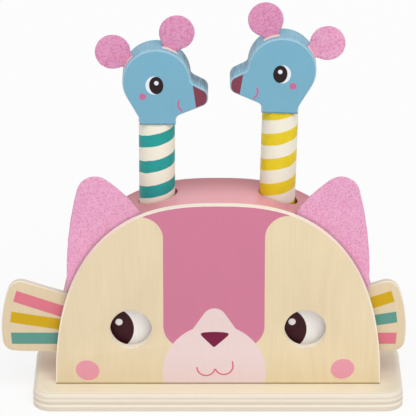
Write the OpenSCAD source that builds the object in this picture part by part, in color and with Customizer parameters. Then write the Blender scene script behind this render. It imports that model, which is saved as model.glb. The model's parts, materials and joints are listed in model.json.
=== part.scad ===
// Wooden pop-up toy. Two mice on round dowels spring up through an arched cat body, and a board
// with a whiskered fin at each end slides sideways behind the face and moves the cat's eyes.
// Millimetres. The origin is the centre of the base board's underside, +Z is up, the face looks
// along -Y and +X is on the viewer's right.

/* [Base board] */
// Width of the base board
base_w = 228; // [215:1:260]
// Depth of the base board
base_d = 78; // [70:1:110]
// Thickness of the base board
base_h = 12; // [10:1:20]
// Corner radius of the base board
base_corner_r = 12; // [4:1:20]

/* [Arched body] */
// Width of the arch at its foot
arch_w = 200; // [186:1:204]
// Height of the arch above the base board
arch_h = 118; // [110:1:135]
// Depth of the body, from the face to the back
body_d = 48; // [46:1:60]
// How square the arch is at its sides
arch_side_power = 2.607; // [2.4:0.05:2.9]
// How flat the arch is on top
arch_top_power = 2.36; // [2.2:0.05:2.6]
// Thickness of the face panel
panel_t = 6; // [5:0.5:8]
// Thickness of the bent cover
shell_t = 8; // [7:0.5:9]
// Thickness of the panel that closes the back
rear_t = 5; // [3:0.5:6]
// Distance between the two eye holes
eye_gap = 107; // [100:1:112]
// Diameter of an eye hole
eye_d = 25.6; // [20:0.2:27]
// Height of the eye holes above the base board
eye_h = 36.7; // [35.5:0.1:38]

/* [Eye slider] */
// Length of the eye slider over its two fins
slider_len = 249.2; // [240:0.2:270]
// Thickness of the eye slider
slider_t = 5.4; // [4:0.2:6]
// Height of the eye slider inside the body
slider_h = 37.5; // [36:0.5:38.5]
// Height of a fin at its tip
fin_h = 46.8; // [44:0.2:50]
// Height of the eye slider's lower edge above the base board
slider_lift = 18; // [16:0.5:19]
// How far the eye slider travels
slider_travel = 17.5; // [10:0.5:20]
// Diameter of the peg that stops the eye slider
stop_peg_d = 5; // [4:0.5:8]
// Height of the part of a rail beyond the slider's edge
rail_h = 8; // [6:0.5:10]
// Length of the rails
rail_len = 140; // [100:1:148]

/* [Cat ears] */
// Thickness of the felt
felt_t = 3; // [2:0.1:3.4]
// Height of a cat ear above the arch's top
ear_rise = 16.3; // [15:0.1:18]
// Radius of the ear's slightly bowed inner side
ear_bow_r = 88; // [87:0.5:89]
// Distance of the ear's widest height from the side of the arch's foot, inwards
ear_side_in = 7.3; // [5:0.1:9]
// Radius of the ear's almost straight outer side
ear_side_r = 225; // [150:1:300]
// Radius of the rounded ear tip
ear_tip_r = 11.5; // [9:0.5:12]
// How deep the ear sits in the cover
ear_root_depth = 6; // [4:0.5:6.5]

/* [Mice] */
// Distance between the two dowels
mouse_gap = 73.6; // [70:0.2:78]
// How far the dowels stand behind the middle of the body
mouse_set_back = 5; // [4:0.2:5.4]
// Diameter of a dowel
dowel_d = 22; // [18:0.5:24]
// Length of a dowel
dowel_len = 75; // [70:1:90]
// Radial play of a dowel in its hole
dowel_play = 1; // [0.9:0.1:1.5]
// Radius of the round part of a head
head_r = 20.6; // [19:0.1:23]
// Thickness of a head
head_t = 20; // [18:0.5:22]
// Height of the middle of the round part above the neck
head_rise = 27.2; // [24:0.2:28]
// How far the nose reaches in front of the dowel's axis
snout_reach = 31.2; // [29:0.2:34]
// Radius of a mouse's ear
mouse_ear_r = 10.8; // [10:0.1:12]
// Width of the slot that holds a mouse's ear
ear_slot_w = 9.5; // [8:0.5:14]
// Depth of the slot that holds a mouse's ear
ear_slot_depth = 5; // [4:0.5:8]
// Room to rise from rest to the stop, left mouse
left_room = 10.9; // [2:0.1:14]
// Room to rise from rest to the stop, right mouse
right_room = 3.5; // [2:0.1:14]
// Lean of the right mouse in its hole, in degrees
right_lean = 1.6; // [0:0.1:1.8]

/* [Springs and pegs] */
// Outer diameter of a spring
spring_d = 19; // [15:0.5:20]
// Diameter of the spring wire
wire_d = 1.6; // [1:0.1:2]
// Number of turns in a spring
spring_turns = 10; // [8:1:14]
// Diameter of the disc that keeps a mouse in the body
disc_d = 26; // [24:0.5:26.4]
// Thickness of the disc that keeps a mouse in the body
disc_t = 5; // [4:0.5:8]
// Diameter of the peg between a head and its dowel
peg_d = 8; // [5:0.5:10]
// Length of the peg between a head and its dowel
peg_len = 24; // [16:1:30]
// Depth of the spring's seat in the base board
seat_depth = 4; // [2:0.5:6]
// Shank diameter of the wood screws
screw_d = 4; // [3:0.5:4.5]
// Length of the screw through a disc
disc_screw_len = 20; // [14:1:25]
// Length of a screw through the base board
base_screw_len = 32; // [26:1:40]

/* [Hidden] */
$fn = 64;

glue_gap = 0.05;      // between a peg or screw and its hole
soft_gap = 0.1;       // between felt and the slot that holds it
slide_gap = 0.3;      // between the eye slider and what guides its faces
edge_gap = 0.5;       // between the eye slider and the rails above and below it
cut = 1;              // how far a cutting solid runs past a face
arch_steps = 72;      // straight steps along the arch

face_y = -body_d / 2;                 // front of the face panel
cover_y = face_y + panel_t;           // front edge of the cover
back_y = body_d / 2;                  // back of the body
top_z = base_h + arch_h;              // top of the arch
ear_y = cover_y;                      // front of the felt cat ears
slider_y = ear_y + felt_t + slide_gap;
slider_back_y = slider_y + slider_t;
notch_y = slider_back_y + slide_gap;  // floor of the notches that the slider runs in
slider_z = base_h + slider_lift;      // lower edge of the eye slider
slider_top = slider_z + slider_h;
slider_rest = -slider_travel / 2;     // the slider stands at the left end of its travel
eye_z = base_h + eye_h;

fin_tip_r = 8;                        // upper corner of a fin
fin_foot_r = 7.5;                     // lower corner of a fin
fin_side_r = 78;                      // bow of a fin's outer edge
fin_side_h = 15;                      // height at which that bow reaches furthest out
fin_w = 39.9;                         // length over which the slider widens into a fin
fin_root = slider_len / 2 - fin_w;
fin_above_notch = 0.4;                // height of the fin's tip that stays outside the notch
notch_top = slider_z + fin_h - fin_above_notch;
ear_bow_out = 19.7;                    // centre of the ear's bow, outwards from the arch's foot
ear_bow_down = 73.1;                   // and below the ear's top
ear_side_down = 47.2;                 // height of the ear's outermost point below the arch's top
ear_above_slider = 2.8;
ear_foot_h = slider_lift + slider_h + ear_above_slider;
stop_peg_into_panel = 3.5;
stop_slot_end_gap = 0.3;

mouse_y = mouse_set_back;
left_off = 0.5;                       // how far the left dowel stands off its hole's middle
right_off = 0.6;                      // the same for the right dowel, at the height of its hole
left_x = -mouse_gap / 2 - left_off;
right_x = mouse_gap / 2 - right_off;
lean_z = top_z - shell_t / 2;         // height at which the right dowel leans in its hole
hole_d = dowel_d + 2 * dowel_play;
hole_reach = arch_h / 3;              // depth of the drill through the cover, from the arch's top
stop_gap = 0.4;                       // left between a disc and the cover at the stop
neck_w = dowel_d;
spring_gap = 0.5;                     // left above the spring for the disc's tilt
spring_off = 0.3;                     // the right spring stands between its disc's two ends of travel
seat_z = base_h - seat_depth;
seat_play = 1.1;
seat_r = spring_d / 2 + seat_play;
screw_head_d = 2 * screw_d;
screw_head_h = screw_d / 2;
screw_point_r = 0.3;
screw_sunk = 0.5;                     // how deep a screw head sits below the surface
screw_from_front = 14;                // from the cover's front edge to the front base screws
screw_from_back = 8;                  // from the back to the rear base screws
screw_from_side = 0.4;                // the arch leans in this much over a base screw's length
base_screw_x = arch_w / 2 - shell_t / 2 - screw_from_side;
base_screw_ys = [cover_y + screw_from_front, back_y - screw_from_back];

ear_lap = 0.4;                        // how far a mouse's ear reaches in over the head's rim
ear_reach = head_r + mouse_ear_r - ear_lap;   // from a head's middle to an ear's middle
neck_lead = 0.7;                      // how far the neck stands in front of the dowel's axis
nose_r = 5;
nose_drop = 9;                        // from the middle of the round head down to the nose
nose_h = 1.7;                         // height of the nose's flat front
jaw_r = 4;
jaw_h = 9.2;                          // height of the jaw's middle above the neck
brow_x = 11.4;                        // where the snout leaves the round head, from its middle
chin_r = 4;                           // radius of the soft inner corners at chin and brow
nape_r = 10;                          // radius of the soft inner corner at the nape
nape_end = [-8.6, 6.5];               // where the straight taper of the nape ends
nape_end_r = 3;

// Point of the arch at angle a, moved inwards by inset along the normal.
function arch_point(a, inset) =
    let (half = arch_w / 2,
        x = half * pow(abs(cos(a)), 2 / arch_side_power),
        z = arch_h * pow(sin(a), 2 / arch_top_power),
        nx = arch_side_power / half * pow(x / half, arch_side_power - 1),
        nz = arch_top_power / arch_h * pow(z / arch_h, arch_top_power - 1),
        n = sqrt(nx * nx + nz * nz),
        side = a > 90 ? -1 : 1)
    [side * (x - inset * nx / n), z - inset * nz / n];

function arch_line(inset) =
    [for (i = [0:arch_steps]) arch_point(180 * i / arch_steps, inset)];

// Height of the cover's underside over x, measured from the base board.
function underside(x) =
    let (line = arch_line(shell_t))
    lookup(abs(x), [for (i = [arch_steps / 2:-1:0]) line[i]]);

disc_stop_z = base_h + underside(mouse_gap / 2 + right_off + disc_d / 2) - stop_gap;
left_neck_z = disc_stop_z - left_room + dowel_len;
right_neck_z = disc_stop_z - right_room + dowel_len;

// Outline of the arch, inset from its outer edge, with its foot pulled down by foot.
module arch_outline(inset = 0, foot = 0) {
    line = arch_line(inset);
    polygon(concat([[line[0][0], -foot]], line, [[line[arch_steps][0], -foot]]));
}

// Stands a drawing in the face's plane at depth y, with its origin height at z, t deep.
module upright(y, z, t) {
    translate([0, y + t, z]) rotate([90, 0, 0]) linear_extrude(t) children();
}

module rounded_rect(w, d, r) {
    square([w - 2 * r, d], center = true);
    square([w, d - 2 * r], center = true);
    for (x = [-1, 1], y = [-1, 1]) translate([x * (w / 2 - r), y * (d / 2 - r)]) circle(r);
}

// Countersunk wood screw standing on its head, with its point up.
module wood_screw(len) {
    cylinder(h = screw_head_h, r1 = screw_head_d / 2, r2 = screw_d / 2);
    cylinder(h = len - screw_d, d = screw_d);
    translate([0, 0, len - screw_d]) cylinder(h = screw_d, r1 = screw_d / 2, r2 = screw_point_r);
}

// Room for that screw: its head's sink and its shank's hole.
module screw_room(len) {
    translate([0, 0, -screw_sunk - cut])
        cylinder(h = screw_sunk + cut, d = screw_head_d + 2 * glue_gap);
    cylinder(h = screw_head_h, r1 = screw_head_d / 2 + glue_gap, r2 = screw_d / 2 + glue_gap);
    cylinder(h = len + glue_gap, d = screw_d + 2 * glue_gap);
}

module at_base_screws() {
    for (x = [-base_screw_x, base_screw_x], y = base_screw_ys)
        translate([x, y, screw_sunk]) children();
}

module base_board() {
    color("wheat") difference() {
        linear_extrude(base_h) rounded_rect(base_w, base_d, base_corner_r);
        for (x = [-1, 1]) translate([x * mouse_gap / 2, mouse_y, seat_z])
            cylinder(h = seat_depth + cut, r = seat_r);
        at_base_screws() screw_room(base_screw_len);
    }
}

module front_panel() {
    color("burlywood") difference() {
        upright(face_y, base_h, panel_t) arch_outline();
        for (x = [-1, 1]) translate([x * eye_gap / 2, face_y + panel_t + cut, eye_z])
            rotate([90, 0, 0]) cylinder(h = panel_t + 2 * cut, d = eye_d);
        translate([0, cover_y, stop_peg_z()]) rotate([90, 0, 0])
            translate([0, 0, -cut]) cylinder(h = stop_peg_into_panel + cut + glue_gap,
                d = stop_peg_d + 2 * glue_gap);
    }
}

module rear_panel() {
    color("rosybrown") upright(back_y - rear_t, base_h, rear_t)
        arch_outline(shell_t + soft_gap);
}

// Bent cover between the two panels, with its dowel holes, slider notches and ear slots.
module arch_cover() {
    depth = back_y - cover_y;
    color("palevioletred") difference() {
        upright(cover_y, base_h, depth) difference() {
            arch_outline();
            arch_outline(shell_t, cut);
        }
        for (x = [-1, 1]) translate([x * mouse_gap / 2, mouse_y, top_z - hole_reach])
            cylinder(h = hole_reach + cut, d = hole_d);
        translate([-base_w / 2, cover_y - cut, slider_z - edge_gap])
            cube([base_w, notch_y - cover_y + cut, notch_top - slider_z + edge_gap]);
        for (side = [-1, 1])
            upright(ear_y - cut, base_h, felt_t + soft_gap + cut)
                mirror([side < 0 ? 0 : 1, 0]) cat_ear_outline(soft_gap);
        at_base_screws() screw_room(base_screw_len);
    }
}

// Where the middle of a fin's round corner stands, so that it runs smoothly into the bowed edge.
function fin_corner_x(z, r) =
    slider_len / 2 - fin_side_r + sqrt(pow(fin_side_r - r, 2) - pow(z - fin_side_h, 2));

// Half of the slider's outline beyond the middle: the plate and the fin that it widens into.
module slider_half() {
    tip = slider_len / 2;
    square([fin_root, slider_h]);
    tip_z = fin_h - fin_tip_r;
    hull() {
        translate([fin_root - cut, 0]) square([cut, slider_h]);
        translate([fin_corner_x(tip_z, fin_tip_r), tip_z]) circle(fin_tip_r, $fn = 32);
        translate([fin_corner_x(fin_foot_r, fin_foot_r), fin_foot_r]) circle(fin_foot_r, $fn = 32);
        intersection() {
            translate([tip - fin_side_r, fin_side_h]) circle(fin_side_r, $fn = 240);
            translate([tip - fin_tip_r, fin_foot_r]) square([fin_tip_r, tip_z - fin_foot_r]);
        }
    }
}

function stop_peg_z() = slider_z + slider_h / 2;

module eye_slider() {
    half_slot = slider_travel / 2 + stop_slot_end_gap;
    slot_d = stop_peg_d + 2 * slide_gap;
    color("burlywood") translate([slider_rest, 0, 0]) upright(slider_y, slider_z, slider_t)
        difference() {
            union() {
                slider_half();
                mirror([1, 0]) slider_half();
            }
            translate([0, slider_h / 2]) {
                square([2 * half_slot, slot_d], center = true);
                for (x = [-half_slot, half_slot]) translate([x, 0]) circle(d = slot_d);
            }
        }
}

// Rail on the back of the face panel: a strip past the slider's edge with a lip in front of it.
module slider_rail() {
    lip_h = 4;
    strip_d = notch_y - slide_gap - cover_y;
    lip_d = slider_y - slide_gap - cover_y;
    translate([-rail_len / 2, cover_y, 0]) {
        cube([rail_len, strip_d, rail_h]);
        translate([0, 0, -lip_h]) cube([rail_len, lip_d, lip_h]);
    }
}

module slider_upper_rail() {
    color("tan") translate([0, 0, slider_top + edge_gap]) slider_rail();
}

module slider_lower_rail() {
    color("tan") translate([0, 0, slider_z - edge_gap]) mirror([0, 0, 1]) slider_rail();
}

module slider_stop_peg() {
    color("tan") translate([0, cover_y - stop_peg_into_panel, stop_peg_z()]) rotate([-90, 0, 0])
        cylinder(h = slider_back_y - cover_y + stop_peg_into_panel, d = stop_peg_d);
}

// Left cat ear, drawn from the arch's foot and grown by grow. Its inner side is one bow from the
// arch to the tip, its outer side is almost straight, and its foot stands above the slider.
module cat_ear_outline(grow = 0) {
    bow = [arch_w / 2 + ear_bow_out, arch_h + ear_rise - ear_bow_down];
    side = [arch_w / 2 - ear_side_in - ear_side_r, arch_h - ear_side_down];
    difference() {
        offset(delta = grow) mirror([1, 0]) intersection() {
            offset(r = ear_tip_r) offset(delta = -ear_tip_r) intersection() {
                translate(bow) circle(ear_bow_r, $fn = 240);
                translate(side) circle(ear_side_r, $fn = 240);
            }
            translate([0, ear_foot_h]) square([arch_w / 2, arch_h]);
        }
        arch_outline(ear_root_depth + grow, cut);
    }
}

module cat_ear(side) {
    color("pink") upright(ear_y, base_h, felt_t)
        mirror([side < 0 ? 0 : 1, 0]) cat_ear_outline();
}

module left_cat_ear() { cat_ear(-1); }
module right_cat_ear() { cat_ear(1); }

module base_screws() {
    color("silver") at_base_screws() wood_screw(base_screw_len);
}

// Places a mouse's piece, drawn from the middle of its neck's underside with its nose to +X.
module on_mouse(side) {
    lean = side < 0 ? 0 : right_lean;
    z = side < 0 ? left_neck_z : right_neck_z;
    x = side < 0 ? left_x : right_x + (z - lean_z) * tan(right_lean);
    translate([x, mouse_y, z]) rotate([0, lean, 0]) mirror([side < 0 ? 0 : 1, 0, 0]) children();
}

// Angles of a mouse's top ear and back ear around the middle of its head.
function ear_angles(side) = side < 0 ? [66.6, 148.6] : [69.7, 150.9];

module mouse_dowel(side) {
    color(side < 0 ? "lightseagreen" : "khaki") on_mouse(side) difference() {
        translate([0, 0, -dowel_len]) cylinder(h = dowel_len, d = dowel_d);
        translate([0, 0, -peg_len / 2 - glue_gap])
            cylinder(h = peg_len + cut, d = peg_d + 2 * glue_gap);
        translate([0, 0, -dowel_len - disc_t + screw_sunk]) screw_room(disc_screw_len);
    }
}

// Outline of a head in profile: round skull, neck and snout, with soft inner corners.
module head_outline() {
    offset(r = -chin_r, $fn = 32) offset(r = chin_r, $fn = 32) {
        offset(r = -nape_r, $fn = 96) offset(r = nape_r, $fn = 96) {
            hull() {
                translate([0, head_rise]) circle(head_r, $fn = 96);
                translate(nape_end) circle(nape_end_r);
            }
            translate([neck_lead - neck_w / 2, -head_rise]) square([neck_w, 2 * head_rise]);
        }
        hull() {
            for (z = [head_rise - nose_drop, head_rise - nose_drop - nose_h])
                translate([snout_reach - nose_r, z]) circle(nose_r);
            translate([neck_w / 2, jaw_h]) circle(jaw_r);
            translate([brow_x, head_rise]) circle(jaw_r);
        }
    }
}

// Slot or tab of an ear, cut into the rim of a head at angle a.
module at_head_rim(a) {
    translate([0, 0, head_rise]) rotate([0, -a, 0]) translate([head_r, 0, 0]) children();
}

module mouse_head(side) {
    color("cadetblue") on_mouse(side) difference() {
        upright(-head_t / 2, 0, head_t) difference() {
            head_outline();
            translate([-snout_reach, -head_rise]) square([2 * snout_reach, head_rise]);
        }
        for (a = ear_angles(side)) at_head_rim(a)
            translate([-ear_slot_depth, -felt_t / 2 - soft_gap, -ear_slot_w / 2 - soft_gap])
                cube([ear_slot_depth + head_r / 2, felt_t + 2 * soft_gap,
                    ear_slot_w + 2 * soft_gap]);
        translate([0, 0, -cut]) cylinder(h = peg_len / 2 + glue_gap + cut,
            d = peg_d + 2 * glue_gap);
    }
}

// Round felt ear that narrows to a root, which stands in its slot.
module mouse_ear(side, a) {
    color("pink") on_mouse(side) at_head_rim(a)
        translate([0, felt_t / 2, 0]) rotate([90, 0, 0]) linear_extrude(felt_t) {
            hull() {
                translate([ear_reach - head_r, 0]) circle(mouse_ear_r);
                translate([0, -ear_slot_w / 2]) square([cut, ear_slot_w]);
            }
            translate([soft_gap - ear_slot_depth, -ear_slot_w / 2])
                square([ear_slot_depth, ear_slot_w]);
        }
}

module head_peg(side) {
    color("tan") on_mouse(side) translate([0, 0, -peg_len / 2]) cylinder(h = peg_len, d = peg_d);
}

module retaining_disc(side) {
    color("tan") on_mouse(side) difference() {
        translate([0, 0, -dowel_len - disc_t]) cylinder(h = disc_t, d = disc_d);
        translate([0, 0, -dowel_len - disc_t + screw_sunk]) screw_room(disc_screw_len);
    }
}

module disc_screw(side) {
    color("silver") on_mouse(side) translate([0, 0, -dowel_len - disc_t + screw_sunk])
        wood_screw(disc_screw_len);
}

// Round wire swept along a rising coil as one closed skin.
module coil(len) {
    sides = 6;
    per_turn = 14;
    steps = spring_turns * per_turn;
    r = (spring_d - wire_d) / 2;
    rise = len - wire_d;
    rings = [for (i = [0:steps]) let (a = 360 * i / per_turn, z = wire_d / 2 + rise * i / steps)
        [for (k = [0:sides - 1]) let (b = 360 * k / sides + 90, rr = r + wire_d / 2 * cos(b))
            [rr * cos(a), rr * sin(a), z + wire_d / 2 * sin(b)]]];
    points = [for (ring = rings) each ring];
    walls = [for (i = [0:steps - 1], k = [0:sides - 1]) let (n = (k + 1) % sides)
        [i * sides + k, i * sides + n, (i + 1) * sides + n, (i + 1) * sides + k]];
    first = [for (k = [sides - 1:-1:0]) k];
    last = [for (k = [0:sides - 1]) steps * sides + k];
    polyhedron(points, concat([first], walls, [last]), convexity = spring_turns);
}

module spring(side) {
    neck = side < 0 ? left_neck_z : right_neck_z;
    disc_under = neck - dowel_len - disc_t;
    x = side < 0 ? left_x : right_x + (disc_under - lean_z) * tan(right_lean) + spring_off;
    color("silver") translate([x, mouse_y, seat_z + glue_gap])
        coil(disc_under - spring_gap - seat_z);
}

module left_mouse_dowel() { mouse_dowel(-1); }
module left_mouse_head() { mouse_head(-1); }
module left_mouse_top_ear() { mouse_ear(-1, ear_angles(-1)[0]); }
module left_mouse_back_ear() { mouse_ear(-1, ear_angles(-1)[1]); }
module left_head_peg() { head_peg(-1); }
module left_retaining_disc() { retaining_disc(-1); }
module left_disc_screw() { disc_screw(-1); }
module left_spring() { spring(-1); }

module right_mouse_dowel() { mouse_dowel(1); }
module right_mouse_head() { mouse_head(1); }
module right_mouse_top_ear() { mouse_ear(1, ear_angles(1)[0]); }
module right_mouse_back_ear() { mouse_ear(1, ear_angles(1)[1]); }
module right_head_peg() { head_peg(1); }
module right_retaining_disc() { retaining_disc(1); }
module right_disc_screw() { disc_screw(1); }
module right_spring() { spring(1); }

base_board();
front_panel();
rear_panel();
arch_cover();
eye_slider();
slider_upper_rail();
slider_lower_rail();
slider_stop_peg();
left_cat_ear();
right_cat_ear();
base_screws();
left_mouse_dowel();
left_mouse_head();
left_mouse_top_ear();
left_mouse_back_ear();
left_head_peg();
left_retaining_disc();
left_disc_screw();
left_spring();
right_mouse_dowel();
right_mouse_head();
right_mouse_top_ear();
right_mouse_back_ear();
right_head_peg();
right_retaining_disc();
right_disc_screw();
right_spring();
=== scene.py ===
"""Builds the looks of a wooden pop-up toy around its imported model.

Lengths are metres in the model's own frame: the origin is the middle of the base board's
underside, +Z is up and the cat's face looks along -Y. Printed pictures are drawn in millimetres.
"""

import json
import math

import bmesh
import bpy
from bpy.props import FloatProperty, FloatVectorProperty, IntProperty, PointerProperty
from mathutils import Matrix, Vector, noise


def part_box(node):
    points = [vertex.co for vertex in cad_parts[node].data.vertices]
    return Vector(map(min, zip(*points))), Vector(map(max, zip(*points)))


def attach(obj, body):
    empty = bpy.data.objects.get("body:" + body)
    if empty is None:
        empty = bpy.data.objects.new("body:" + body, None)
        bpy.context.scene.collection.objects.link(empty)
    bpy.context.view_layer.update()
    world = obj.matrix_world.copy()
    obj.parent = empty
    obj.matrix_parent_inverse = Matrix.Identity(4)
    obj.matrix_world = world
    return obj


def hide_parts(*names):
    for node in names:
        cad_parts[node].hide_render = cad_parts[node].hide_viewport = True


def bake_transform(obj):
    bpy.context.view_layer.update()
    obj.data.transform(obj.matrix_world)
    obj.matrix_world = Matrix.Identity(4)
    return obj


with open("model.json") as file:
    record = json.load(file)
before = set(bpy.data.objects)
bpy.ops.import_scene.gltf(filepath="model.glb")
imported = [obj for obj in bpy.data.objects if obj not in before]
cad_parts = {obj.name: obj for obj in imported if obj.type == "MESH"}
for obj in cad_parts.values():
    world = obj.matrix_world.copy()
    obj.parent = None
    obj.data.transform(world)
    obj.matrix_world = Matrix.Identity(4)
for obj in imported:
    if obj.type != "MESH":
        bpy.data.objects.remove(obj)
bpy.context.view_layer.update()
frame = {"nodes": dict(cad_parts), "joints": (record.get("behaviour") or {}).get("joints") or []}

bl_info = {
    "name": "Pop-up animal toy",
    "version": (1, 0, 0),
    "blender": (4, 5, 0),
    "location": "View3D > Sidebar > Pop-up toy",
    "description": "Models and finishes a wooden pop-up toy around its packed model",
    "category": "Object",
}

MM = 0.001
SIDES = ("left", "right")
MERGE = 1e-6                 # points nearer than this in a copied mesh are one point


# ---------------------------------------------------------------- settings

def linear(red, green, blue):
    """A colour as a picture editor gives it, 0 to 255, turned into Blender's linear colour."""
    shares = (red / 255, green / 255, blue / 255)
    return tuple(c / 12.92 if c <= 0.04045 else ((c + 0.055) / 1.055) ** 2.4 for c in shares)


def colour(name, text, *rgb):
    return FloatVectorProperty(
        name=name, description=text, default=linear(*rgb), size=3, min=0, max=1, subtype="COLOR")


def length(name, text, millimetres):
    return FloatProperty(
        name=name, description=text, default=millimetres * MM, unit="LENGTH", precision=5)


def share(name, text, value):
    return FloatProperty(
        name=name, description=text, default=value, min=0, max=1, subtype="FACTOR")


def number(name, text, value):
    return FloatProperty(name=name, description=text, default=value)


def angle(name, text, degrees):
    return FloatProperty(
        name=name, description=text, default=math.radians(degrees), subtype="ANGLE")


class ToyWood(bpy.types.PropertyGroup):
    """Bare and varnished wood."""
    face: colour("Birch face", "Varnished face of the face panel", 230, 212, 178)
    fin: colour("Fin face", "Varnished face of the eye slider", 224, 205, 172)
    edge: colour("Ply edge", "Light layers of a plywood edge", 243, 234, 217)
    core: colour("Ply core", "Dark layers of a plywood edge", 215, 204, 185)
    base: colour("Base face", "Top of the base board", 239, 229, 206)
    # painted contact shadow along the face panel's foot, where it stands on the base board
    contact_shadow: colour("Contact", "Line where the face panel meets the base board", 140, 108, 45)
    beech: colour("Beech", "Plain turned and sawn wood inside the body", 219, 189, 146)
    base_round: length("Base rounding", "Radius of the base board's upper edges", 4.0)
    under_round: length("Underside rounding", "Radius of the base board's lower edges", 1.0)
    cover_round: length("Cover rounding", "Radius of the bent cover's eased edges behind", 0.5)
    panel_round: length("Panel rounding", "Radius of the face panel's eased edges", 0.35)
    fin_round: length("Fin rounding", "Radius of the eye slider's rounded edges", 1.3)
    small_round: length("Small rounding", "Radius of eased edges on small wooden pieces", 0.4)


class ToyFace(bpy.types.PropertyGroup):
    """Print on the face panel and paint of the body."""
    blaze: colour("Blaze", "Pink of the forehead and the top of the face", 207, 124, 151)
    muzzle: colour("Muzzle", "Pale pink of the muzzle", 233, 210, 208)
    nose: colour("Nose", "Dark nose", 118, 14, 60)
    mouth: colour("Mouth", "Line of the mouth", 218, 104, 134)
    cheek: colour("Cheek", "Round cheeks", 231, 154, 169)
    cover: colour("Cover", "Satin paint of the bent cover", 238, 166, 175)
    back: colour("Back", "Satin paint of the panel behind", 222, 150, 163)


class ToyEyes(bpy.types.PropertyGroup):
    """Print on the eye slider."""
    white: colour("Eye white", "White of the eyes", 254, 252, 251)
    pupil: colour("Pupil", "Dark of the eyes", 60, 19, 28)
    pink: colour("Pink stripe", "Pink stripe of a fin", 222, 120, 136)
    ochre: colour("Ochre stripe", "Ochre stripe of a fin", 208, 167, 18)
    teal: colour("Teal stripe", "Teal stripe of a fin", 95, 153, 141)
    pupil_r: length("Pupil radius", "Radius of the printed pupils", 14.5)
    glint_r: length("Glint radius", "Radius of the light spot in an eye", 2.2)


class ToyMice(bpy.types.PropertyGroup):
    """Paint and print of the two mice."""
    blue: colour("Blue", "Satin paint of the heads", 120, 176, 200)
    nose: colour("Nose", "Print on the snout", 130, 58, 76)
    blush: colour("Blush", "Cheek and mouth of a head", 197, 108, 152)
    white: colour("Eye white", "Pale crescent behind a pupil", 232, 238, 246)
    pupil: colour("Pupil", "Dark of the eyes", 28, 2, 8)
    # pale: painted highlight along the front edge of a head's rim
    pale: colour("Pale rim", "Highlit front edge of a head's rim", 176, 211, 222)
    lilac: colour("Lilac rim", "Thin paint in places of a head's rim", 158, 182, 212)
    cream: colour("Cream", "Ground colour of the dowels", 241, 235, 217)
    teal: colour("Teal", "Stripe of the left dowel", 33, 154, 150)
    yellow: colour("Yellow", "Stripe of the right dowel", 231, 203, 30)
    head_round: length("Head rounding", "Radius of a head's rounded edges", 1.3)
    raw_length: length("Raw wood length", "Bare strip along a slot of an ear", 9.8)
    raw_width: length("Raw wood width", "Bare strip in front of a slot of an ear", 4.0)
    slot_half: length("Slot", "From a head's middle to the bare strip", 1.4)
    teal_pitch: length("Teal pitch", "Rise of the left dowel's stripe in one turn", 16.58)
    yellow_pitch: length("Yellow pitch", "Rise of the right dowel's stripe in one turn", 16.28)
    stripe_share: share("Stripe share", "Share of the pitch that the stripe covers", 0.47)


class ToyFelt(bpy.types.PropertyGroup):
    """Pressed felt of all ears."""
    pink: colour("Pink", "Main colour of the felt", 241, 176, 208)
    fleck: colour("Fleck", "Darker fibres in the felt", 222, 134, 178)
    pale: colour("Pale fleck", "Paler fibres in the felt", 250, 205, 228)
    edge_round: length("Edge rounding", "Radius of the felt's soft edges", 1.0)
    grain: length("Grain", "Edge length of the felt's fine mesh", 0.7)
    lumps: length("Lumps", "How far the felt's surface swells and sinks", 0.2)


class ToyMetal(bpy.types.PropertyGroup):
    """Springs and screws."""
    steel: colour("Spring steel", "Drawn spring wire", 190, 192, 196)
    zinc: colour("Zinc", "Plated screws", 200, 202, 204)
    wire: length("Wire", "Diameter of the spring wire", 1.6)
    turns: IntProperty(name="Turns", description="Turns of a spring, its two closed ones included",
                       default=10)
    recess: length("Recess", "Width over the cross in a screw's head", 4.6)
    recess_wall: length("Recess wall", "Width of one bar of the cross", 1.1)
    recess_depth: length("Recess depth", "Depth of the cross", 1.2)


class ToyStage(bpy.types.PropertyGroup):
    """Floor, light and camera."""
    floor: colour("Floor", "Pale floor", 253, 253, 253)
    glow: share("Floor glow", "Share of plain white in the floor as it is seen", 0.76)
    sky: number("Sky", "Strength of the even light", 0.56)
    lamp: number("Lamp", "Strength of the soft lamp", 1.24)
    fill: number("Fill", "Strength of the second soft lamp", 0.24)
    lamp_tilt: angle("Lamp tilt", "How far both lamps lean from straight down", 40)
    lamp_turn: angle("Lamp turn", "How far the soft lamp is turned about the toy", 20)
    fill_turn: angle("Fill turn", "How far the second lamp is turned about the toy", -40)
    lamp_width: angle("Lamp width", "Softness of the lamps' shadows", 45)
    distance: length("Camera distance", "From the camera to the point that it looks at", 2300)
    height: angle("Camera elevation", "How steeply the camera looks down", 22.055)
    lens: number("Lens", "Focal length on a 36 mm sensor", 325.1)
    aim: FloatVectorProperty(name="Aim", description="Point that the camera looks at",
                             default=(-6.17 * MM, -1 * MM, 119.83 * MM), subtype="TRANSLATION")


class ToySettings(bpy.types.PropertyGroup):
    """All sizes and colours of the toy's looks."""
    wood: PointerProperty(type=ToyWood)
    face: PointerProperty(type=ToyFace)
    eyes: PointerProperty(type=ToyEyes)
    mice: PointerProperty(type=ToyMice)
    felt: PointerProperty(type=ToyFelt)
    metal: PointerProperty(type=ToyMetal)
    stage: PointerProperty(type=ToyStage)


# ---------------------------------------------------------------- materials

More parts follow.
